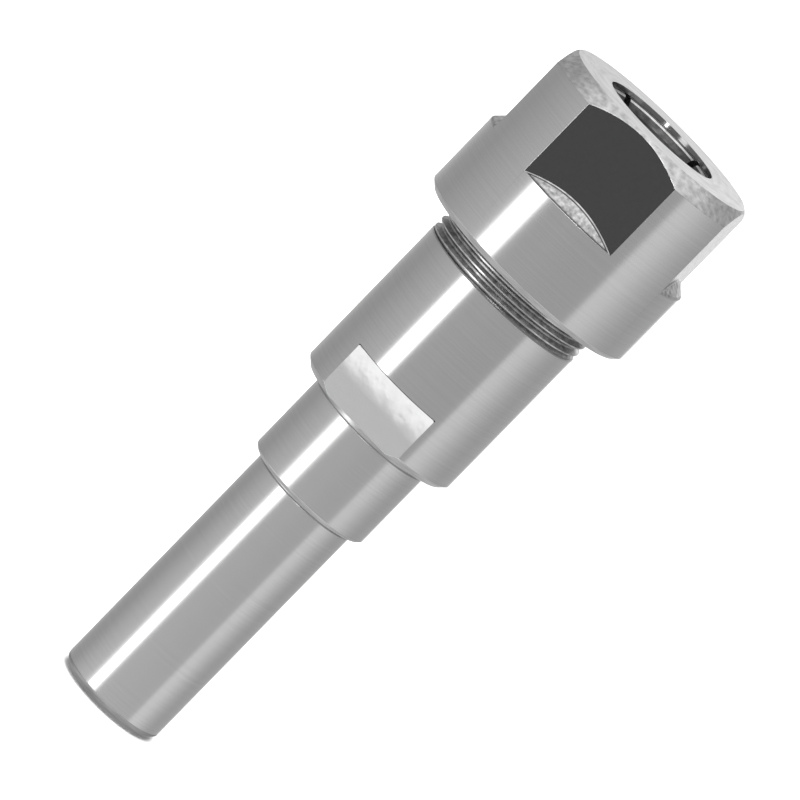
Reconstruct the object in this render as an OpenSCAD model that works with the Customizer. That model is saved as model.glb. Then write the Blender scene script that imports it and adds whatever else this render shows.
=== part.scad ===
// Collet extension rod. A straight shank, a stop collar and a threaded body are turned in
// one piece. A slotted collet sits in the body's tapered socket, and a screwed nut draws it
// in, so that it closes on the tool's shank.
// Sizes are in millimetres. +Z runs from the shank's end to the nut's mouth, and the origin
// is the centre of the shank's end face.

/* [Shank] */
// Diameter of the plain shank that the machine holds
shank_d = 12.7; // [10:0.1:14.2]
// Length of the shank, from its end face to the collar
shank_len = 30.6; // [15:0.1:60]
// Bevel round the shank's end face
shank_bevel = 0.8; // [0.2:0.1:2]

/* [Collar] */
// Diameter of the stop collar above the shank
collar_d = 15.1; // [13.6:0.1:18.4]
// Length of the collar
collar_len = 10.2; // [3:0.1:25]
// Bevel round the collar's lower edge
collar_bevel = 0.35; // [0.1:0.05:0.6]

/* [Body] */
// Diameter of the body
body_d = 20; // [19:0.1:24]
// Length of the body's plain part, from the collar to the thread
body_len = 19.2; // [12:0.1:40]
// Bevel round the body's lower edge
body_bevel = 0.7; // [0.2:0.05:1.5]
// Distance across the body's two spanner flats
body_af = 16.6; // [15.4:0.1:18.8]
// Length of the spanner flats, from the body's lower end
body_flat_len = 6.1; // [3:0.1:11]

/* [Thread] */
// Outside diameter of the rod's thread
thread_d = 20; // [19:0.1:21.4]
// Distance from one turn of the thread to the next
thread_pitch = 1; // [0.8:0.05:1.4]
// Width of the flat on top of each turn, as a share of the pitch
thread_land = 0.4; // [0.2:0.05:0.6]
// Length of thread that shows between the body and the nut
thread_show = 3.2; // [1:0.1:6]

/* [Socket] */
// Diameter of the tapered socket at the rod's end
socket_d = 16.6; // [16:0.1:17]
// Angle between the socket's wall and the axis
socket_angle = 4; // [2:0.25:4.5]
// Depth of the hole that takes the tool's shank, from the rod's end
hole_depth = 25.5; // [18:0.5:32]
// Room between the hole behind the collet and the tool's shank, all round
hole_gap = 0.25; // [0.1:0.05:0.5]

/* [Collet] */
// Diameter of the tool shank that the collet holds
tool_d = 12.7; // [8:0.05:12.9]
// Length of the collet inside the socket
collet_seat = 13; // [8:0.1:14.5]
// Largest diameter of the collet's head
collet_head_d = 17.4; // [17.1:0.1:18.4]
// Depth of the groove that the nut's lip runs in
groove_depth = 0.8; // [0.5:0.05:1]
// Length of the groove
groove_len = 1.4; // [1:0.1:2]
// Number of slots
slot_count = 4; // [3:1:8]
// Width of each slot
slot_w = 0.8; // [0.3:0.05:1.6]
// Length of the ring that the slots leave whole at the collet's inner end
collet_ring = 3.5; // [1.5:0.1:6]
// Bevel round the mouth of the collet's bore
bore_bevel = 0.3; // [0.1:0.05:0.5]

/* [Nut] */
// Diameter of the nut
nut_d = 27; // [26:0.1:32]
// Length of the nut
nut_len = 20.4; // [16:0.1:30]
// Distance across the nut's four flats
nut_af = 24; // [23.4:0.1:25.4]
// Height of the round flange that the flats leave at the nut's lower end
flange_len = 9.15; // [3:0.05:11]
// Bevel round the flange's lower edge
flange_bevel = 0.64; // [0.2:0.02:1.2]
// Bevel round the nut's face
face_bevel = 1.75; // [0.8:0.05:2.2]
// Diameter of the hole in the nut's face
mouth_d = 14; // [13.6:0.1:14.6]
// Thickness of the straight lip round that hole
mouth_lip = 0.35; // [0.2:0.05:0.6]
// Small bevel on the edge of that hole
mouth_break = 0.12; // [0.05:0.01:0.2]
// Depth from the nut's face to the rod's end
nut_seat = 8.1; // [7.6:0.1:10]
// Angle between the nut's inner cone and the axis
nose_angle = 30; // [25:1:35]

/* [Position at rest] */
// Depth of the collet's face below the nut's face
collet_recess = 0.65; // [0.45:0.05:0.9]
// Turn of the nut about the axis, against the body's flats
nut_turn = 4.75; // [-45:0.25:45]
// Turn of the collet about the axis, against the body's flats
collet_turn = 9.5; // [-45:0.5:45]

/* [Clearances] */
// Gap between the rod's thread and the nut's bore, at the radius
thread_gap = 0.05; // [0.02:0.01:0.1]
// Gap between the collet and the socket's wall, at the radius
taper_gap = 0.05; // [0.04:0.01:0.1]
// Gap between the collet's nose and the nut's inner cone, at the radius
nose_gap = 0.07; // [0.05:0.01:0.15]
// Gap round the collet's head and groove inside the nut
head_gap = 0.15; // [0.08:0.01:0.2]
// Room that the nut and the collet have to move towards the body
draw_room = 1; // [0.7:0.1:1.4]

/* [Hidden] */
$fn = 128;

shank_r = shank_d / 2;
collar_r = collar_d / 2;
body_r = body_d / 2;
thread_r = thread_d / 2;
tool_r = tool_d / 2;
hole_r = tool_r + hole_gap;
nut_r = nut_d / 2;
mouth_r = mouth_d / 2;

// Heights along the axis, from the shank's end face
collar_z = shank_len;
body_z = collar_z + collar_len;
thread_z = body_z + body_len;
nut_z = thread_z + thread_show;
nut_top_z = nut_z + nut_len;
rod_top_z = nut_top_z - nut_seat;
flat_z = nut_z + flange_len;

// The thread is cut as V grooves with sides at 60 degrees to each other
flank_angle = 30;
root_w = 0.05 * thread_pitch;
groove_w = thread_pitch * (1 - thread_land);
thread_depth = (groove_w - root_w) / 2 / tan(flank_angle);
root_r = thread_r - thread_depth;
thread_len = rod_top_z - thread_z;
turns = floor((thread_len - thread_depth - groove_w) / thread_pitch) + 1;

// The socket's wall, as a radius at height z
function socket_r(z) = socket_d / 2 - (rod_top_z - z) * tan(socket_angle);
collet_rear_z = rod_top_z - collet_seat;
socket_floor_z = collet_rear_z - draw_room;
hole_floor_z = rod_top_z - hole_depth;
drill_angle = 59;

// The nut's inner cone, as a radius at height z
function cone_r(z) = mouth_r + (nut_top_z - mouth_lip - z) * tan(nose_angle);
head_r = collet_head_d / 2;
collet_face_z = nut_top_z - collet_recess;
nose_r = cone_r(collet_face_z) - nose_gap;
head_z = collet_face_z - (head_r - nose_r) / tan(nose_angle);
head_len = 1;
groove_top_z = head_z - head_len;
groove_z = groove_top_z - groove_len;
groove_r = head_r - groove_depth;

// The nut's inside, from the thread to the cone
nut_bore_r = thread_r + thread_gap;
nut_bore_top_z = rod_top_z + draw_room;
neck_r = max(socket_r(groove_z), groove_r) + head_gap;
lip_r = groove_r + head_gap;
chamber_r = head_r + head_gap;
chamber_top_z = nut_top_z - mouth_lip - (chamber_r - mouth_r) / tan(nose_angle);

// How far a cut reaches past the face that it opens
over = 1;

// A solid of revolution about the axis, from points given as [radius, height]
module turned(points) {
    rotate_extrude() polygon(points);
}

// One groove of the thread, with its land above it
function groove_points(z) = [
    [thread_r, z],
    [root_r, z + (groove_w - root_w) / 2],
    [root_r, z + (groove_w + root_w) / 2],
    [thread_r, z + groove_w]
];

module rod_blank() {
    turned([
        [0, 0],
        [shank_r - shank_bevel, 0],
        [shank_r, shank_bevel],
        [shank_r, collar_z],
        [collar_r - collar_bevel, collar_z],
        [collar_r, collar_z + collar_bevel],
        [collar_r, body_z],
        [body_r - body_bevel, body_z],
        [body_r, body_z + body_bevel],
        [body_r, thread_z],
        for (i = [0 : turns - 1]) each groove_points(thread_z + i * thread_pitch),
        [thread_r, rod_top_z - thread_depth],
        [root_r, rod_top_z],
        [0, rod_top_z]
    ]);
}

// The tapered socket and the drilled hole behind it
module rod_hole() {
    turned([
        [0, hole_floor_z - hole_r / tan(drill_angle)],
        [hole_r, hole_floor_z],
        [hole_r, socket_floor_z],
        [socket_r(socket_floor_z), socket_floor_z],
        [socket_r(rod_top_z + over), rod_top_z + over],
        [0, rod_top_z + over]
    ]);
}

module spanner_flats() {
    for (side = [0, 180]) rotate(side)
        translate([-body_d, body_af / 2, body_z])
            cube([2 * body_d, body_d, body_flat_len]);
}

module rod_body() {
    color("#a6a8aa") difference() {
        rod_blank();
        rod_hole();
        spanner_flats();
    }
}

// The collet's outside: nose, head, groove for the nut's lip, and the long taper
module collet_blank() {
    turned([
        [0, collet_rear_z],
        [socket_r(collet_rear_z) - taper_gap, collet_rear_z],
        [socket_r(groove_z) - taper_gap, groove_z],
        [groove_r, groove_z],
        [groove_r, groove_top_z],
        [head_r, groove_top_z],
        [head_r, head_z],
        [nose_r, collet_face_z],
        [0, collet_face_z]
    ]);
}

module collet_bore() {
    translate([0, 0, collet_rear_z - over])
        cylinder(r = tool_r, h = collet_face_z - collet_rear_z + 2 * over);
    translate([0, 0, collet_face_z - bore_bevel])
        cylinder(r1 = tool_r, r2 = tool_r + bore_bevel + over, h = bore_bevel + over);
}

module collet_slots() {
    slot_z = collet_rear_z + collet_ring;
    for (i = [0 : slot_count - 1]) rotate((i + 0.5) * 360 / slot_count)
        translate([0, -slot_w / 2, slot_z])
            cube([head_r + over, slot_w, collet_face_z - slot_z + over]);
}

module collet() {
    color("#c2c4c6") rotate(collet_turn) difference() {
        collet_blank();
        collet_bore();
        collet_slots();
    }
}

module nut_blank() {
    turned([
        [0, nut_z],
        [nut_r - flange_bevel, nut_z],
        [nut_r, nut_z + flange_bevel],
        [nut_r, nut_top_z - face_bevel],
        [nut_r - face_bevel, nut_top_z],
        [0, nut_top_z]
    ]);
}

// What the milling of the four flats leaves: the round flange, a cone that runs up from its
// edge, and a square block above
module nut_flats() {
    translate([0, 0, nut_z - over])
        cylinder(r = nut_r + over, h = flat_z - nut_z + over);
    translate([0, 0, flat_z])
        cylinder(r1 = nut_r, r2 = 0, h = nut_r);
    translate([-nut_af / 2, -nut_af / 2, nut_z])
        cube([nut_af, nut_af, nut_len + over]);
}

module nut_bore() {
    entry = thread_depth + thread_gap;
    turned([
        [0, nut_z - over],
        [nut_bore_r + entry + over, nut_z - over],
        [nut_bore_r, nut_z + entry],
        [nut_bore_r, nut_bore_top_z],
        [neck_r, nut_bore_top_z],
        [neck_r, groove_z + head_gap],
        [lip_r, groove_z + head_gap],
        [lip_r, groove_top_z - head_gap],
        [chamber_r, groove_top_z - head_gap],
        [chamber_r, chamber_top_z],
        [mouth_r, nut_top_z - mouth_lip],
        [mouth_r, nut_top_z - mouth_break],
        [mouth_r + mouth_break + over, nut_top_z + over],
        [0, nut_top_z + over]
    ]);
}

module clamping_nut() {
    color("#8e9092") rotate(nut_turn) difference() {
        intersection() {
            nut_blank();
            nut_flats();
        }
        nut_bore();
    }
}

rod_body();
collet();
clamping_nut();
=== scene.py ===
# Collet extension rod, dressed for rendering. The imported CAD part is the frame: its three
# bodies carry the pieces made here. Sizes are in millimetres, and heights go up from the
# shank's end face along the axis; each mesh is brought to metres when it is finished.
from math import acos, asin, atan2, cos, pi, radians, sin, tan

import bmesh
import bpy
from mathutils import Matrix, Quaternion, Vector


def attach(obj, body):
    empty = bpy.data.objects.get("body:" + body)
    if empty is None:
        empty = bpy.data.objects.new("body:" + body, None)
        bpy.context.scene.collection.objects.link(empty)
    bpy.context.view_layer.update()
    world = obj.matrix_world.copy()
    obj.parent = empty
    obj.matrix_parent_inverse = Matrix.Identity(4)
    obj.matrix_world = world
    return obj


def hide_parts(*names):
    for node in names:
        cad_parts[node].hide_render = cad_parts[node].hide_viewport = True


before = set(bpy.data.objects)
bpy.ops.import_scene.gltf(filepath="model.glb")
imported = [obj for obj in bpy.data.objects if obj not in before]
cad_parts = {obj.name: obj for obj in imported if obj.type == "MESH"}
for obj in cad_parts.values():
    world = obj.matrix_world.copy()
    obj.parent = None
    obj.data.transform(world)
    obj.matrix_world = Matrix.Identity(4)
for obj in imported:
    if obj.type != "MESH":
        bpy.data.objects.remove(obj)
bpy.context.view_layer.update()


# --- The rod -------------------------------------------------------------------------------
# One piece of tool steel, turned between centres: shank, stop collar, body, threaded end.
# The shank, collar and body are then ground bright, two spanner flats are milled across the
# foot of the body, and the end is bored for the collet, with a drilled hole behind.

CAMERA_AZIMUTH = 9.5
CAMERA_SIDE = radians(CAMERA_AZIMUTH - 90)      # the side that the photo shows, from +X
TURN_STEPS = 256                                # facets round a full turn
NEAR, NEAR_ANGLE = 0.01, 1e-5                   # closer than this counts as the same place
MARGIN = 0.03                                   # keeps a test clear of the next face
HARDLY, HALF, MOSTLY = 0.2, 0.5, 0.9            # how far a face's normal points some way

SHANK_R, SHANK_BEVEL = 6.35, 0.8
COLLAR_R, COLLAR_BEVEL, COLLAR_Z = 7.55, 0.35, 30.6
BODY_R, BODY_BEVEL, BODY_Z = 10.0, 0.7, 40.8
# the grinding relief under each shoulder: its depth all round, and its two lengths
RELIEF_DEPTH, COLLAR_RELIEF, BODY_RELIEF = 0.12, 0.42, 0.7
SPANNER_FLAT, SPANNER_FLAT_TOP = 8.3, 46.9      # distance from the axis, and upper end
THREAD_Z, ROD_TOP = 60.0, 75.5
THREAD_R, THREAD_ROOT, PITCH = 9.97, 9.38, 1.0
CREST, ROOT = 0.15, 0.18                        # widths of the thread's crest and root
CREST_Z = 60.51                                 # where a crest passes the camera's side
THREAD_BEVEL = 0.12                             # on the body's edge at the thread's foot
RUNOUT, RUNOUT_SLOPE = 0.5, 0.7                 # height and slope of the thread's last groove
SOCKET_R, SOCKET_TAPER, SOCKET_FLOOR = 8.3, radians(4), 61.5
HOLE_R, HOLE_FLOOR, DRILL_POINT = 6.6, 50.0, radians(59)
DRILL_TIP = HOLE_FLOOR - HOLE_R / tan(DRILL_POINT)
END_ROUND, BURR, EASE = 0.3, 0.1, 0.05          # widths of what is eased, and of the burr


def turned(bm, line, marks):
    """Spins a line of (radius, height) points about the axis, from mark to mark. A column of
    vertices stands at each marked angle, so that the edge of a flat has one to lie on."""
    for here, there in zip(marks, marks[1:]):
        column = [bm.verts.new((r * cos(here), r * sin(here), z)) for r, z in line]
        edges = [bm.edges.new(pair) for pair in zip(column, column[1:])]
        bmesh.ops.spin(
            bm, geom=column + edges, cent=(0, 0, 0), axis=(0, 0, 1), angle=there - here,
            steps=max(1, round((there - here) / (2 * pi) * TURN_STEPS)), use_duplicate=False)


def weld(bm):
    """Joins the columns and draws in what has no area."""
    bmesh.ops.remove_doubles(bm, verts=bm.verts, dist=0.002)
    bmesh.ops.dissolve_degenerate(bm, edges=bm.edges, dist=0.001)


def off_middle(point, middles, half):
    """The angle from the nearest of the middles to a point, or None beyond half on each side."""
    for middle in middles:
        off = (atan2(point.y, point.x) - middle + pi) % (2 * pi) - pi
        if abs(off) <= half + NEAR_ANGLE:
            return off
    return None


def ease(bm, width, wanted, above):
    """Breaks the outer edges that the test picks and that turn by more than this many degrees,
    as a stone or a brush does. The new faces get material 1 for the time being, by which
    piece() knows them."""
    edges = [e for e in bm.edges if len(e.link_faces) == 2 and wanted(*[v.co for v in e.verts])
             and e.calc_face_angle_signed(0) > radians(above)]
    made = bmesh.ops.bevel(bm, geom=edges, offset=width, segments=2, profile=0.5,
                           affect="EDGES", material=-1, clamp_overlap=False)
    for face in made["faces"]:
        face.material_index = 1


SHARP = radians(24)            # an edge that turns by this much shows as an edge
WEAK, STRONG = -16384, 16384   # the weights by which the level_faces modifier ranks the faces


def piece(bm, name, finishes, choose, body, slot, *nodes):
    """Closes the mesh off as an object in metres, with the finish that each face has."""
    bm.normal_update()
    weight = bm.faces.layers.int.new("__mod_weightednormals_faceweight")
    for face in bm.faces:
        eased = face.material_index == 1
        finish = choose(face.calc_center_median(), face.normal, eased)
        face.material_index = finishes.index(finish)
        face.smooth, face[weight] = True, WEAK if eased else STRONG
    for edge in bm.edges:
        edge.smooth = edge.calc_face_angle(0) < SHARP
    bmesh.ops.scale(bm, vec=(0.001,) * 3, verts=bm.verts)
    mesh = bpy.data.meshes.new(name)
    bm.to_mesh(mesh)
    bm.free()
    for finish in finishes:
        mesh.materials.append(finish)
    thing = bpy.data.objects.new(name, mesh)
    bpy.context.scene.collection.objects.link(thing)
    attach(thing, body)
    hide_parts(*nodes)
    # the light runs level over each cut face, and only turns at the eased edges
    level = thing.modifiers.new("level_faces", "WEIGHTED_NORMAL")
    level.mode, level.keep_sharp, level.use_face_influence = "CORNER_ANGLE", True, True


def tone(code):
    """An sRGB colour, such as #8F9193, as the linear values that a shader takes."""
    parts = [int(code[i:i + 2], 16) / 255 for i in (1, 3, 5)]
    return [p / 12.92 if p <= 0.04045 else ((p + 0.055) / 1.055) ** 2.4 for p in parts] + [1]


FIRST, SECOND, MIXED = 6, 7, 2   # the sockets of a colour mix: its two colours, and its result


def add(tree, kind, inputs=(), **settings):
    """Adds a shader node with its settings, its values and its links."""
    node = tree.nodes.new("ShaderNode" + kind)
    for name, value in settings.items():
        setattr(node, name, value)
    for name, value in dict(inputs).items():
        if isinstance(value, bpy.types.NodeSocket):
            tree.links.new(value, node.inputs[name])
        else:
            node.inputs[name].default_value = value
    return node


FAINT, FULL = 0.3, 0.7    # the noise's values where marks begin to show, and show fully
RING_LEAN = 0.37          # marks to a millimetre outwards, for each one upwards


def steel(name, dark, light, dull, bright, long, wide):
    """A bare steel finish. The tool that cut it left marks of this length round the part and
    this width, in millimetres. They vary its colour from dark to light, and its roughness from
    dull to bright."""
    made = bpy.data.materials.new(name)
    made.use_nodes = True
    tree = made.node_tree
    shader = tree.nodes["Principled BSDF"]
    shader.inputs["Metallic"].default_value = 1
    place = add(tree, "SeparateXYZ", {0: add(tree, "TexCoord").outputs["Object"]})
    out = add(tree, "CombineXYZ", {"X": place.outputs["X"], "Y": place.outputs["Y"]})
    radius = add(tree, "VectorMath", {0: out.outputs[0]}, operation="LENGTH")
    # marks run in rings on a cylinder, a cone and an end face alike
    rise = add(tree, "Math", {0: radius.outputs["Value"], 1: RING_LEAN, 2: place.outputs["Z"]},
               operation="MULTIPLY_ADD")
    rings = add(tree, "CombineXYZ", {"X": place.outputs["X"], "Y": place.outputs["Y"],
                                     "Z": rise.outputs[0]})
    size = add(tree, "Mapping", {"Vector": rings.outputs[0],
                                 "Scale": (1000 / long, 1000 / long, 1000 / wide)})
    marks = add(tree, "TexNoise", {"Vector": size.outputs[0], "Scale": 1, "Detail": 3})
    colour = add(tree, "ValToRGB", {"Fac": marks.outputs["Fac"]})
    for stop, at, code in zip(colour.color_ramp.elements, (FAINT, FULL), (dark, light)):
        stop.position, stop.color = at, tone(code)
    rough = add(tree, "MapRange", {"Value": marks.outputs["Fac"], "From Min": FAINT,
                                   "From Max": FULL, "To Min": dull, "To Max": bright})
    tree.links.new(colour.outputs[0], shader.inputs["Base Color"])
    tree.links.new(rough.outputs[0], shader.inputs["Roughness"])
    return made


# Ground tool steel, on the body and the nut: the wheel leaves fine marks round the part, so
# reflections stay sharp across it and soften along it. The real marks are about 0.02 mm
# apart, and are drawn at 0.14 mm, as fine as the render can show.
ground_steel = steel("ground_tool_steel", "#DEDEDE", "#E4E4E4", 0.166, 0.154, 20, 0.14)
# Satin ground steel, on the shank and the collar: a coarser wheel, so reflections are softer
shank_steel = steel("satin_ground_steel", "#DEDEDE", "#E4E4E4", 0.21, 0.195, 20, 0.14)
# Turned steel: bevels and shoulders as the lathe tool left them, satin, with feed rings
turned_steel = steel("turned_steel", "#B7B7B7", "#D2D2D2", 0.38, 0.3, 2.5, 0.35)
# Shade-line steel: painted shade, a dark line along the edge of a cut, under a burr and in a
# groove
shade_line_steel = steel("shade_line_steel", "#454545", "#6C6C6C", 0.5, 0.4, 0.8, 0.8)
# Dull turned steel: the shank's rounded end, which the grinding wheel doesn't reach
dull_steel = steel("dull_turned_steel", "#8C8C8C", "#B0B0B0", 0.5, 0.4, 3, 0.3)
# Thread steel: flanks and roots, dull, and coloured darker: painted shade in the grooves
thread_steel = steel("shaded_thread_steel", "#868686", "#BEBEBE", 0.35, 0.25, 0.7, 0.25)
# Rubbed thread crests: the tops that the nut polishes
crest_steel = steel("rubbed_crest_steel", "#B4B4B4", "#F4F4F4", 0.3, 0.2, 1.1, 0.3)
# Rubbed edge steel: where spanners and fingers have brightened an edge
rubbed_edge = steel("rubbed_edge_steel", "#B8B8B8", "#F2F2F2", 0.35, 0.25, 0.8, 0.8)
# Bored steel: the inside of the socket and holes, dull from the boring bar
bored_steel = steel("bored_steel", "#787878", "#919191", 0.45, 0.35, 3, 0.4)
# Milled steel: the spanner flats, with the cutter's fine marks, satin. The cutter swings a
# little out of the flat towards its upper end. Only the light shows it, so it is drawn in the
# shading, with a wavy front.
milled_steel = steel("milled_steel", "#DFDFDF", "#E6E6E6", 0.27, 0.25, 1.6, 0.9)
SWING_FOOT, SWING_TOP = 43.85, 47.25            # the heights between which it swings
SWING_RISE, SWING_CURVE = 0.41, 2.0             # how far out, and the power that it follows
WAVE_LENGTH, WAVE_HEIGHT = 1.8, 0.7             # of its front
tree = milled_steel.node_tree
where = add(tree, "TexCoord").outputs["Object"]
waves = add(tree, "TexNoise", {"Vector": where, "Scale": 1000 / WAVE_LENGTH, "Detail": 2})
place = add(tree, "SeparateXYZ", {0: where})
height = add(tree, "Math", {0: waves.outputs["Fac"], 1: WAVE_HEIGHT / 1000,
                            2: place.outputs["Z"]}, operation="MULTIPLY_ADD")
swing = add(tree, "MapRange", {"Value": height.outputs[0], "From Min": SWING_FOOT / 1000,
                               "From Max": SWING_TOP / 1000})
swing = add(tree, "Math", {0: swing.outputs[0], 1: SWING_CURVE}, operation="POWER")
slope = add(tree, "Bump", {"Height": swing.outputs[0], "Distance": SWING_RISE / 1000})
tree.links.new(slope.outputs[0], tree.nodes["Principled BSDF"].inputs["Normal"])

rod_mesh = bmesh.new()
spanner_sides = (-pi / 2, pi / 2)
flat_half = acos(SPANNER_FLAT / BODY_R)
foot_half = acos(SPANNER_FLAT / (BODY_R - BODY_BEVEL))
marks = sorted(side + way * half for side in spanner_sides
               for way in (-1, 1) for half in (flat_half, foot_half))
marks.append(marks[0] + 2 * pi)
STEP_ROW = SPANNER_FLAT_TOP + 0.05   # the row that the flat's upper step leaves in place
ROW_GAP = 0.6                        # from each end of the flat to the next row
turned(rod_mesh, [
    (0, 0), (SHANK_R - SHANK_BEVEL, 0), (SHANK_R, SHANK_BEVEL),
    (SHANK_R, COLLAR_Z - COLLAR_RELIEF),
    (SHANK_R - RELIEF_DEPTH, COLLAR_Z - COLLAR_RELIEF + RELIEF_DEPTH),
    (SHANK_R - RELIEF_DEPTH, COLLAR_Z), (COLLAR_R - COLLAR_BEVEL, COLLAR_Z),
    (COLLAR_R, COLLAR_Z + COLLAR_BEVEL),
    (COLLAR_R, BODY_Z - BODY_RELIEF),
    (COLLAR_R - RELIEF_DEPTH, BODY_Z - BODY_RELIEF + RELIEF_DEPTH),
    (COLLAR_R - RELIEF_DEPTH, BODY_Z), (BODY_R - BODY_BEVEL, BODY_Z),
    (BODY_R, BODY_Z + BODY_BEVEL), (BODY_R, BODY_Z + BODY_BEVEL + ROW_GAP),
    (BODY_R, SPANNER_FLAT_TOP - ROW_GAP), (BODY_R, SPANNER_FLAT_TOP), (BODY_R, STEP_ROW),
    (BODY_R, THREAD_Z - THREAD_BEVEL), (BODY_R - THREAD_BEVEL, THREAD_Z)], marks)
socket_r = SOCKET_R - (ROD_TOP - SOCKET_FLOOR) * tan(SOCKET_TAPER)
turned(rod_mesh, [
    (SOCKET_R, ROD_TOP), (socket_r, SOCKET_FLOOR), (HOLE_R, SOCKET_FLOOR), (HOLE_R, HOLE_FLOOR),
    (0, DRILL_TIP)], marks)

# the spanner flats: the rows at the foot of the body move in to the plane of the cut
for v in rod_mesh.verts:
    radius = v.co.xy.length
    if BODY_Z - NEAR < v.co.z < STEP_ROW - NEAR and radius > BODY_R - BODY_BEVEL - NEAR:
        off = off_middle(v.co, spanner_sides, flat_half)
        if off is not None and radius > SPANNER_FLAT / cos(off):
            cut = SPANNER_FLAT / cos(off)
            if abs(v.co.z - BODY_Z - BODY_BEVEL) < NEAR:
                v.co.z = BODY_Z + max(0, cut - BODY_R + BODY_BEVEL)
            v.co.xy = v.co.xy * (cut / radius)
    elif abs(v.co.z - STEP_ROW) < NEAR:
        v.co.z = SPANNER_FLAT_TOP
weld(rod_mesh)
bmesh.ops.recalc_face_normals(rod_mesh, faces=rod_mesh.faces)

# the burr along the upper edge of each spanner flat
ease(rod_mesh, BURR, lambda a, b: max(abs(v.z - SPANNER_FLAT_TOP) for v in (a, b)) < NEAR
     and min(a.xy.length, b.xy.length) > BODY_R - NEAR, above=30)
turned_faces = set(rod_mesh.faces)

# the thread: its outline over all the turns, spun once round with a rise of one pitch
THREAD_STEPS = 128
THREAD_TURNS = range(-2, 18)         # some turns past each end, which are then cut off
outline = []
for turn in THREAD_TURNS:
    crest = CREST_Z + PITCH * (turn + (-pi - CAMERA_SIDE) / (2 * pi))
    outline += [
        (THREAD_R, crest - CREST / 2), (THREAD_R, crest + CREST / 2),
        (THREAD_ROOT, crest + (PITCH - ROOT) / 2), (THREAD_ROOT, crest + (PITCH + ROOT) / 2)]
column = [rod_mesh.verts.new((-r, 0, z)) for r, z in outline]
edges = [rod_mesh.edges.new(pair) for pair in zip(column, column[1:])]
bmesh.ops.spin(rod_mesh, geom=column + edges, cent=(0, 0, 0), axis=(0, 0, 1), angle=2 * pi,
               dvec=(0, 0, PITCH / THREAD_STEPS), steps=THREAD_STEPS, use_duplicate=False)
weld(rod_mesh)
for height, away in ((THREAD_Z, -1), (ROD_TOP, 1)):
    faces = [f for f in rod_mesh.faces if f not in turned_faces]
    parts = {part for f in faces for part in [*f.verts, *f.edges, f]}
    bmesh.ops.bisect_plane(rod_mesh, geom=list(parts), plane_co=(0, 0, height),
                           plane_no=(0, 0, away), clear_outer=True)

# the thread runs out in a shallower groove at its foot
for v in rod_mesh.verts:
    shallow = THREAD_ROOT + RUNOUT_SLOPE * (THREAD_Z + RUNOUT - v.co.z)
    if (THREAD_Z - NEAR < v.co.z < THREAD_Z + RUNOUT
            and THREAD_ROOT - NEAR < v.co.xy.length < shallow):
        v.co.xy = v.co.xy * (shallow / v.co.xy.length)

# the shoulder at the foot of the thread, and the rod's end face
for height in (THREAD_Z, ROD_TOP):
    rim = [e for e in rod_mesh.edges
           if e.is_boundary and all(abs(v.co.z - height) < NEAR for v in e.verts)]
    bmesh.ops.triangle_fill(rod_mesh, edges=rim, normal=(0, 0, 1), use_beauty=True)
bmesh.ops.recalc_face_normals(rod_mesh, faces=rod_mesh.faces)


def on_shank_end(a, b):
    """Whether an edge is one of the two round the shank's end bevel."""
    return max(a.z, b.z) < SHANK_BEVEL + NEAR and a.xy.length > NEAR


def on_outside(a, b):
    """Whether an edge runs round the outside, between the end bevel and the thread. The burr
    and the reliefs keep theirs."""
    top = max(a.z, b.z)
    return (SHANK_BEVEL + 1 < top < THREAD_Z - 1
            and min(a.xy.length, b.xy.length) > SHANK_R - MARGIN
            and (a.xy - b.xy).length > HALF * abs(a.z - b.z)
            and not SPANNER_FLAT_TOP - MARGIN < top < SPANNER_FLAT_TOP + 2 * BURR)


ease(rod_mesh, END_ROUND, on_shank_end, above=30)
ease(rod_mesh, EASE, on_outside, above=30)


def rod_finish(centre, normal, eased):
    radius = centre.xy.length
    if (SPANNER_FLAT_TOP > centre.z > BODY_Z and abs(normal.y) > MOSTLY
            and radius < BODY_R - MARGIN and not eased):
        return milled_steel
    if centre.z > DRILL_TIP - NEAR and radius < SOCKET_R + NEAR:
        return bored_steel
    if centre.z > THREAD_Z - NEAR:
        return crest_steel if radius > THREAD_R - 2 * NEAR else thread_steel
    # the painted shadow that the burr casts along the top of each spanner flat
    if eased and SPANNER_FLAT_TOP - NEAR < centre.z < SPANNER_FLAT_TOP + 2 * BURR:
        return shade_line_steel
    if centre.z < SHANK_BEVEL + END_ROUND and normal.z < -NEAR:
        return dull_steel
    for step, relief, edge in ((COLLAR_Z, COLLAR_RELIEF, SHANK_R),
                               (BODY_Z, BODY_RELIEF, COLLAR_R)):
        if step - relief < centre.z < step and radius < edge - NEAR:
            return turned_steel
    if abs(normal.z) > HARDLY:
        return turned_steel
    return shank_steel if centre.z < BODY_Z else ground_steel


piece(rod_mesh, "rod",
      [ground_steel, shank_steel, turned_steel, milled_steel, shade_line_steel, dull_steel,
       thread_steel, crest_steel, bored_steel],
      rod_finish, "rod", "rod_steel", "rod_body")


# --- The collet ----------------------------------------------------------------------------
# A spring-steel sleeve with a long taper outside and a true bore inside. Four slots, sawn in
# from the face, let it close on a tool's shank. The groove under its head is for the nut's
# lip, which pulls it out again. It is pushed into the rod's socket and held by the nut.

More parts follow.
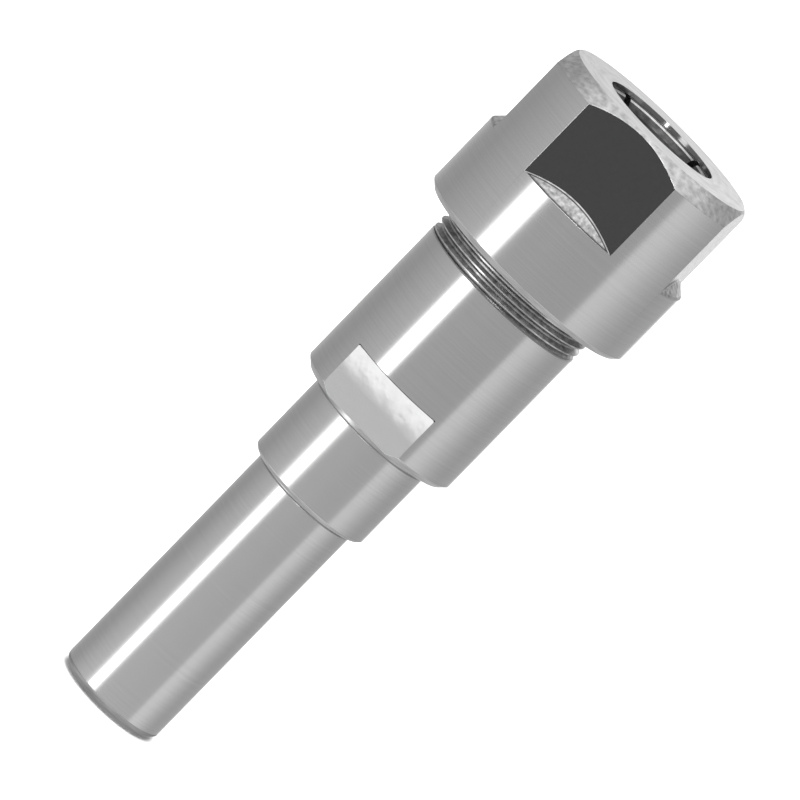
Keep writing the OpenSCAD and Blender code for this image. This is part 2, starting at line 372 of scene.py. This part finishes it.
BORE_R, REAR_R, TAPER_R, GROOVE_R, HEAD_R, NOSE_R = 6.35, 7.341, 8.41, 7.9, 8.7, 7.103
COLLET_REAR, RING_TOP, GROOVE_Z, HEAD_Z = 62.5, 66.0, 77.784, 79.184
NOSE_Z, COLLET_FACE = 80.184, 82.95
LEAD_Z, FACE_EDGE_Z = 82.1, 82.76               # the lead-in cone, and the face's rubbed edge
LEAD_R, FACE_EDGE_R = 6.67, 6.86
SLOT_WIDTH, RIM_EASE = 0.95, 0.04
ring_r = REAR_R + (RING_TOP - COLLET_REAR) * tan(SOCKET_TAPER)
ring_line = [(REAR_R, COLLET_REAR), (ring_r, RING_TOP), (BORE_R, RING_TOP), (BORE_R, COLLET_REAR)]
finger_line = [
    (ring_r, RING_TOP), (TAPER_R, GROOVE_Z), (GROOVE_R, GROOVE_Z), (GROOVE_R, HEAD_Z),
    (HEAD_R, HEAD_Z), (HEAD_R, NOSE_Z), (NOSE_R, COLLET_FACE), (FACE_EDGE_R, COLLET_FACE),
    (LEAD_R, FACE_EDGE_Z), (BORE_R, LEAD_Z), (BORE_R, RING_TOP)]

collet_mesh = bmesh.new()
slots = [radians(CAMERA_AZIMUTH + 45 + 90 * k) for k in range(4)]
fingers = [slot + radians(45) for slot in slots]
SLOT_HALF = radians(3)      # half of a slot's angle, before each radius gets its own
for slot in slots:
    turned(collet_mesh, ring_line + ring_line[:1], [slot - SLOT_HALF, slot + SLOT_HALF])
    turned(collet_mesh, ring_line[:1] + finger_line + ring_line[-1:] + ring_line[:1],
           [slot + SLOT_HALF, slot + radians(90) - SLOT_HALF])
weld(collet_mesh)
for v in collet_mesh.verts:      # the two walls of a slot are parallel
    wall = asin(SLOT_WIDTH / 2 / v.co.xy.length)
    off, share = off_middle(v.co, slots, SLOT_HALF), wall / SLOT_HALF
    if off is None:
        off = off_middle(v.co, fingers, radians(45))
        share = (pi / 4 - wall) / (pi / 4 - SLOT_HALF)
    v.co.xy = Matrix.Rotation(off * (share - 1), 2) @ v.co.xy
bmesh.ops.holes_fill(collet_mesh, edges=[e for e in collet_mesh.edges if e.is_boundary])
bmesh.ops.recalc_face_normals(collet_mesh, faces=collet_mesh.faces)
ease(collet_mesh, RIM_EASE, lambda a, b: min(a.z, b.z) > NOSE_Z - NEAR, above=30)


def collet_finish(centre, normal, eased):
    outwards = normal.xy @ centre.xy / centre.xy.length
    # the lead-in cone inside the face gets a painted shade
    if centre.z < FACE_EDGE_Z - MARGIN and outwards <= HARDLY:
        return bored_steel if centre.z < LEAD_Z else shade_line_steel
    return rubbed_edge if normal.z > HALF else ground_steel


piece(collet_mesh, "collet_sleeve", [ground_steel, rubbed_edge, shade_line_steel, bored_steel],
      collet_finish, "collet", "collet_steel", "collet")


# --- The clamping nut ----------------------------------------------------------------------
# Turned from steel bar, ground outside, then milled to four flats above a round flange, and
# bevelled again. It is screwed on the rod's thread, and its inner cone presses on the
# collet's nose.

NUT_R, NUT_Z, NUT_TOP = 13.5, 63.2, 83.6
NUT_FLAT, LEDGE_Z, FACE_BEVEL, FLANGE_BEVEL = 12.0, 72.35, 1.75, 0.64
MOUTH_R, MOUTH_EDGE_R, MOUTH_RING_R, MOUTH_Z = 7.0, 7.06, 7.22, 83.1
CHAMBER_R, LIP_R, CLEAR_R, THREAD_BORE_R = 8.85, 8.05, 8.61, 10.05   # from the cone down
CONE_Z, LIP_TOP, LIP_FOOT, THREAD_TOP, BORE_BEVEL = 80.046, 79.034, 77.934, 76.5, 0.526
TOP_Z, OUTSIDE_R = 83.0, 11.0   # the end face with the mouth, and the outside, start here
CORNER_EASE, TALL = 0.018, 2    # the flats' sides are taller than this, and stay crisper
RUBBED, SHADED_BAND = 0.12, 0.24     # bands along each ledge, out from the flat to this far: rubbed, then painted shade
LEDGE_ROWS = {LEDGE_Z + 0.05: SHADED_BAND, LEDGE_Z + 0.1: RUBBED, LEDGE_Z + 0.15: 0}
nut_sides = [radians(CAMERA_AZIMUTH / 2 + 90 * k) for k in range(4)]
nut_half = acos(NUT_FLAT / NUT_R)
marks = [side + way * nut_half for side in nut_sides for way in (-1, 1)]
marks.append(marks[0] + 2 * pi)
nut_mesh = bmesh.new()
nut_line = [
    (NUT_R - FLANGE_BEVEL, NUT_Z), (NUT_R, NUT_Z + FLANGE_BEVEL), (NUT_R, LEDGE_Z),
    *[(NUT_R, row) for row in LEDGE_ROWS],
    (NUT_R, NUT_TOP - FACE_BEVEL), (NUT_R - FACE_BEVEL, NUT_TOP),
    (MOUTH_RING_R, NUT_TOP), (MOUTH_EDGE_R, NUT_TOP), (MOUTH_R, MOUTH_Z), (CHAMBER_R, CONE_Z),
    (CHAMBER_R, LIP_TOP), (LIP_R, LIP_TOP), (LIP_R, LIP_FOOT), (CLEAR_R, LIP_FOOT),
    (CLEAR_R, THREAD_TOP), (THREAD_BORE_R, THREAD_TOP), (THREAD_BORE_R, NUT_Z + BORE_BEVEL),
    (THREAD_BORE_R + BORE_BEVEL, NUT_Z)]
turned(nut_mesh, nut_line + nut_line[:1], marks)
for v in nut_mesh.verts:          # the flats cut in, and each bevel's cone runs up to them
    if v.co.xy.length < NUT_R - NEAR or v.co.z < LEDGE_Z + NEAR:
        continue
    off = off_middle(v.co, nut_sides, nut_half)
    inwards = 0 if off is None else NUT_R - NUT_FLAT / cos(off)
    for row, out in LEDGE_ROWS.items():      # how far out from the flat each row ends
        if abs(v.co.z - row) < NEAR:
            inwards = max(0, inwards - out)
            v.co.z = LEDGE_Z
    v.co.z += inwards
    v.co.xy = v.co.xy * (1 - inwards / NUT_R)
weld(nut_mesh)
bmesh.ops.recalc_face_normals(nut_mesh, faces=nut_mesh.faces)
ease(nut_mesh, CORNER_EASE, lambda a, b: a.xy.length > OUTSIDE_R and abs(a.z - b.z) > TALL,
     above=20)
ease(nut_mesh, RIM_EASE, lambda a, b: abs(a.z - b.z) < TALL
     and (min(a.xy.length, b.xy.length) > OUTSIDE_R or min(a.z, b.z) > TOP_Z), above=20)

# Mirror-milled steel: the nut's flats, fine and level, mirror the dark room before the part
mirror_flat = steel("mirror_milled_steel", "#616161", "#676767", 0.22, 0.18, 0.5, 0.5)
# Bored mouth steel: dark, but polished, so it mirrors the lights in points
mouth_steel = steel("polished_mouth_steel", "#818181", "#8B8B8B", 0.15, 0.11, 6, 0.2)
# Faced steel: the nut's end face, bright, with the rings of the facing cut
faced_steel = steel("faced_steel", "#D2D2D2", "#F2F2F2", 0.36, 0.28, 2.5, 0.3)
# Grained steel: the nut's upper bevel, cut last, on which the tool tore a fine grain
grained_steel = steel("grained_bevel_steel", "#B4B4B4", "#E2E2E2", 0.42, 0.33, 0.8, 0.3)
# Rough-milled steel: the ledges, with a coarse grain. A painted shade darkens them along
# their lower edges, but less so on the two at the sides.
rough_milled = steel("rough_milled_steel", "#A0A0A0", "#F0F0F0", 0.5, 0.35, 0.45, 0.45)
SHADED_Z, UNSHADED_Z = 72.41, 72.6                   # painted shade below the first, none above the second
SIDE_FROM, SIDE_TO, SIDE_UNSHADED = 8, 11, 0.7     # outwards from the middle, and how much of the painted shade lifts there
tree = rough_milled.node_tree
place = add(tree, "SeparateXYZ", {0: add(tree, "TexCoord").outputs["Object"]})
unshaded = add(tree, "MapRange", {"Value": place.outputs["Z"], "From Min": SHADED_Z / 1000,
                               "From Max": UNSHADED_Z / 1000})
aside = add(tree, "Math", {0: place.outputs["X"]}, operation="ABSOLUTE")
aside = add(tree, "MapRange", {"Value": aside.outputs[0], "From Min": SIDE_FROM / 1000,
                               "From Max": SIDE_TO / 1000, "To Max": SIDE_UNSHADED})
unshaded = add(tree, "Math", {0: unshaded.outputs[0], 1: aside.outputs[0]}, operation="MAXIMUM")
colour = tree.nodes["Principled BSDF"].inputs["Base Color"]
# the painted shade: dark grey where a ledge is low, over the grain's own colour
grain = add(tree, "Mix", {"Factor": unshaded.outputs[0], FIRST: tone("#404040"),
                          SECOND: colour.links[0].from_socket}, data_type="RGBA")
tree.links.new(grain.outputs[MIXED], colour)


def nut_finish(centre, normal, eased):
    radius = centre.xy.length
    if radius < MOUTH_RING_R - MARGIN and centre.z > TOP_Z and abs(normal.z) < HALF:
        return mouth_steel
    if radius < THREAD_BORE_R + BORE_BEVEL and normal.z < MOSTLY:
        return bored_steel
    off = off_middle(centre, nut_sides, nut_half)
    if off is not None and LEDGE_Z < centre.z < TOP_Z and radius < NUT_R - MARGIN:
        if eased:
            return rubbed_edge
        if abs(normal.z) < HARDLY:
            return mirror_flat
        if centre.z < LEDGE_Z + NUT_R - NUT_FLAT and normal.z > HALF:
            out = radius - NUT_FLAT / cos(off)
            # between the rubbed edge and the rough ledge lies a band of painted shade, which the
            # two ledges at the sides don't have
            if out > SHADED_BAND or out > RUBBED and abs(centre.x) > abs(centre.y):
                return rough_milled
            return rubbed_edge if out < RUBBED else shade_line_steel
    if centre.z > NUT_TOP - FACE_BEVEL - MARGIN and abs(normal.z) > HARDLY:
        if normal.z < MOSTLY:
            return grained_steel
        return rubbed_edge if radius < MOUTH_RING_R else faced_steel
    return ground_steel if abs(normal.z) < HARDLY else turned_steel


piece(nut_mesh, "nut",
      [ground_steel, turned_steel, mirror_flat, rough_milled, shade_line_steel, rubbed_edge,
       faced_steel, grained_steel, mouth_steel, bored_steel],
      nut_finish, "nut", "nut_steel", "clamping_nut")

# the nut's own thread: one ridge wound up the inside of the bore, half a pitch from the rod's
RIDGE_STEPS, RIDGE_TURNS = 96, range(4, 15)
RIDGE_ROOT, RIDGE_CREST = (10.08, 0.35), (9.6, 0.07)      # each a radius and half a width
ridge = bmesh.new()
for turn in RIDGE_TURNS:
    height = CREST_Z + PITCH * (turn + 0.5 + (-pi - CAMERA_SIDE) / (2 * pi))
    loop = [ridge.verts.new((-r, 0, height + way * half)) for (r, half), way in
            ((RIDGE_ROOT, -1), (RIDGE_CREST, -1), (RIDGE_CREST, 1), (RIDGE_ROOT, 1))]
    for pair in zip(loop, loop[1:] + loop[:1]):
        ridge.edges.new(pair)
bmesh.ops.spin(ridge, geom=ridge.verts[:] + ridge.edges[:], cent=(0, 0, 0), axis=(0, 0, 1),
               angle=2 * pi, dvec=(0, 0, PITCH / RIDGE_STEPS), steps=RIDGE_STEPS,
               use_duplicate=False)
weld(ridge)
bmesh.ops.holes_fill(ridge, edges=[e for e in ridge.edges if e.is_boundary])
bmesh.ops.recalc_face_normals(ridge, faces=ridge.faces)
piece(ridge, "nut_thread", [thread_steel], lambda *face: thread_steel, "nut", "nut_steel")


# --- The studio ----------------------------------------------------------------------------
# A pale floor, a white room with soft strip lights, and the camera at the photo's angle.

paper = bpy.data.materials.new("white_paper")
paper.use_nodes = True
shader = paper.node_tree.nodes["Principled BSDF"]
shader.inputs["Base Color"].default_value = tone("#F4F4F4")
shader.inputs["Roughness"].default_value = 0.9
floor_mesh = bmesh.new()
bmesh.ops.create_circle(floor_mesh, cap_ends=True, radius=4, segments=64)
mesh = bpy.data.meshes.new("floor")
floor_mesh.to_mesh(mesh)
floor_mesh.free()
mesh.materials.append(paper)
floor = bpy.data.objects.new("floor", mesh)
bpy.context.scene.collection.objects.link(floor)
floor.visible_glossy = False     # the part doesn't mirror it: the room below gives its light

world = bpy.data.worlds.new("studio")
bpy.context.scene.world = world
world.use_nodes = True
tree = world.node_tree
look = add(tree, "TexCoord").outputs["Generated"]
towards = add(tree, "SeparateXYZ", {0: look})
turn = add(tree, "Math", {0: towards.outputs["Y"], 1: towards.outputs["X"]}, operation="ARCTAN2")
share = add(tree, "Math", {0: turn.outputs[0], 1: 1 / (2 * pi), 2: 0.5 - CAMERA_SIDE / (2 * pi)},
            operation="MULTIPLY_ADD")
share = add(tree, "Math", {0: share.outputs[0]}, operation="FRACT")
# the light of the walls and of the floor, by the angle from the camera's side, counter-
# clockwise from above
WALLS = [(-180, 0.62), (-160, 0.5), (-140, 0.38), (-118, 0.36), (-90, 0.43), (-50.3, 0.54),
         (-47.3, 3), (-33.1, 3), (-30.1, 0.43), (0, 0.405), (57, 0.405), (60, 0.71), (75, 0.65),
         (90, 0.53), (105, 0.44), (120, 0.4), (155, 0.45), (161, 0.65), (165, 1.35), (177, 1.35),
         (180, 0.62)]
FLOOR = [(-180, 0.65), (-115, 0.65), (-85, 1.25), (85, 1.25), (115, 0.65), (180, 0.65)]
BRIGHTEST = 3
rings = []
for ring in (WALLS, FLOOR):
    ramp = add(tree, "ValToRGB", {"Fac": share.outputs[0]})
    for i, (angle, light) in enumerate(ring):
        at = (angle + 180) / 360
        stop = ramp.color_ramp.elements[i] if i < 2 else ramp.color_ramp.elements.new(at)
        stop.position, stop.color = at, [light / BRIGHTEST] * 3 + [1]
    rings.append(ramp.outputs[0])
up = towards.outputs["Z"]
FLOOR_FULL, FLOOR_EDGE = -0.4, -0.25     # how steeply down the floor and its edge are seen
low = add(tree, "MapRange", {"Value": up, "From Min": FLOOR_FULL, "From Max": FLOOR_EDGE,
                             "To Min": 1, "To Max": 0})
room = add(tree, "Mix", {"Factor": low.outputs[0], FIRST: rings[0], SECOND: rings[1]},
           data_type="RGBA")
for lowest, highest, light in ((-0.8, -0.92, 0.75), (0.64, 0.86, 1.0)):   # straight down, and up
    end = add(tree, "MapRange", {"Value": up, "From Min": lowest, "From Max": highest})
    room = add(tree, "Mix", {"Factor": end.outputs[0], FIRST: room.outputs[MIXED],
                             SECOND: [light / BRIGHTEST] * 3 + [1]}, data_type="RGBA")
# a narrow strip light stands over the camera
STRIP_LIGHT, STRIP_HALF, STRIP_EDGE = 4, 0.03, 0.045
side = add(tree, "VectorMath", {0: look,
                                1: (cos(CAMERA_SIDE + pi / 2), sin(CAMERA_SIDE + pi / 2), 0)},
           operation="DOT_PRODUCT")
front = add(tree, "VectorMath", {0: look, 1: (cos(CAMERA_SIDE), sin(CAMERA_SIDE), 0)},
            operation="DOT_PRODUCT")
side = add(tree, "Math", {0: side.outputs["Value"]}, operation="ABSOLUTE")
strip = add(tree, "MapRange", {"Value": side.outputs[0], "From Min": STRIP_HALF,
                               "From Max": STRIP_EDGE, "To Min": 1, "To Max": 0})
for source, lowest, highest in ((up, 0.06, 0.1), (front.outputs["Value"], 0.5, 0.6)):
    within = add(tree, "MapRange", {"Value": source, "From Min": lowest, "From Max": highest})
    strip = add(tree, "Math", {0: strip.outputs[0], 1: within.outputs[0]}, operation="MULTIPLY")
room = add(tree, "Mix", {"Factor": strip.outputs[0], FIRST: room.outputs[MIXED],
                         SECOND: (STRIP_LIGHT,) * 3 + (1,)}, data_type="RGBA")
lit = add(tree, "Background", {"Color": room.outputs[MIXED], "Strength": BRIGHTEST})
white = add(tree, "Background", {"Color": (1, 1, 1, 1), "Strength": 1})
seen = add(tree, "MixShader", {0: add(tree, "LightPath").outputs["Is Camera Ray"],
                               1: lit.outputs[0], 2: white.outputs[0]})
tree.links.new(seen.outputs[0], tree.nodes["World Output"].inputs[0])

overhead = bpy.data.objects.new("overhead", bpy.data.lights.new("overhead", "AREA"))
overhead.data.shape, overhead.data.size, overhead.data.energy = "DISK", 1.2, 22
overhead.location = (0, 0, 1.2)
overhead.visible_glossy = False
overhead.visible_camera = False
bpy.context.scene.collection.objects.link(overhead)

# the photo's camera, found from the outline of the part in it
AIM = Vector((0.0644, 0.0108, 44.3594)) / 1000
AZIMUTH, ELEVATION, ROLL = radians(CAMERA_AZIMUTH), radians(10.304), radians(44.2487)
DISTANCE = 0.829917
camera = bpy.data.objects.new("camera", bpy.data.cameras.new("camera"))
bpy.context.scene.collection.objects.link(camera)
camera.data.lens, camera.data.sensor_width = 360.995, 36
back = Vector((sin(AZIMUTH) * cos(ELEVATION), -cos(AZIMUTH) * cos(ELEVATION), sin(ELEVATION)))
camera.location = AIM + back * DISTANCE
camera.rotation_mode = "QUATERNION"
camera.rotation_quaternion = (-back).to_track_quat("-Z", "Y") @ Quaternion((0, 0, 1), ROLL)
camera.data.clip_start, camera.data.clip_end = 0.01, 20
bpy.context.scene.camera = camera
bpy.context.scene.view_settings.view_transform = "Standard"
